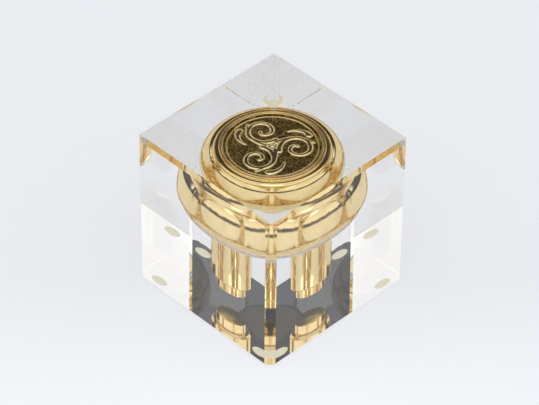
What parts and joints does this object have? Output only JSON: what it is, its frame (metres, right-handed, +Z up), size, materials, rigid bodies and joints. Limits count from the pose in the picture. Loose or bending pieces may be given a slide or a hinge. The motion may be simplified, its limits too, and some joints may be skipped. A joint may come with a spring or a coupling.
{
  "type": "inkwell",
  "caption": "Cube-shaped desk inkwell: a clear block whose upper half lifts off, with a gilt brass lid, stopper, collar and ink cup held inside it.",
  "frame": {"origin": "centre of the footprint, at the level of the feet's undersides", "axes": "+Z up along the ink cup's axis and the lid's lift; +X and +Y square to the block's side faces"},
  "size_m": [0.08, 0.08, 0.079],
  "materials": {
    "clear_block": "polished, water clear",
    "liner_glass": "polished, slightly green",
    "gilt_brass": "mirror polished, gilt",
    "antique_brass": "struck relief with dark patina in the ground",
    "plain_brass": "turned, satin",
    "white_rubber": "translucent silicone",
    "black_rubber": "matte",
    "green_felt": "pressed felt",
    "straw_rubber": "soft, translucent pale straw"
  },
  "bodies": {
    "base": {"base_block": "clear_block", "collar_ring": "gilt_brass", "collar_gasket": "white_rubber", "ink_dish": "gilt_brass", "ink_cup": "gilt_brass", "cup_liner": "liner_glass", "cup_gasket": "black_rubber", "dish_screw_1": "plain_brass", "foot_pad_1": "straw_rubber", "dish_screw_2": "plain_brass", "foot_pad_2": "straw_rubber", "dish_screw_3": "plain_brass", "foot_pad_3": "straw_rubber", "dish_screw_4": "plain_brass", "foot_pad_4": "straw_rubber"},
    "lid": {"lid_block": "clear_block", "lid_dome": "gilt_brass", "medallion": "antique_brass", "medallion_bezel": "gilt_brass", "medallion_backing": "green_felt", "lid_core": "plain_brass", "lid_plate": "gilt_brass", "skirt_ring": "gilt_brass", "stopper": "gilt_brass", "stopper_seal": "black_rubber", "stopper_screw": "plain_brass", "plate_screw_1": "plain_brass", "plate_screw_2": "plain_brass", "plate_screw_3": "plain_brass", "plate_screw_4": "plain_brass"}
  },
  "joints": [
    {"name": "lid_lift", "type": "slide", "parent": "base", "child": "lid", "axis": [0, 0, 1], "range_m": [0, 0.05]}
  ]
}
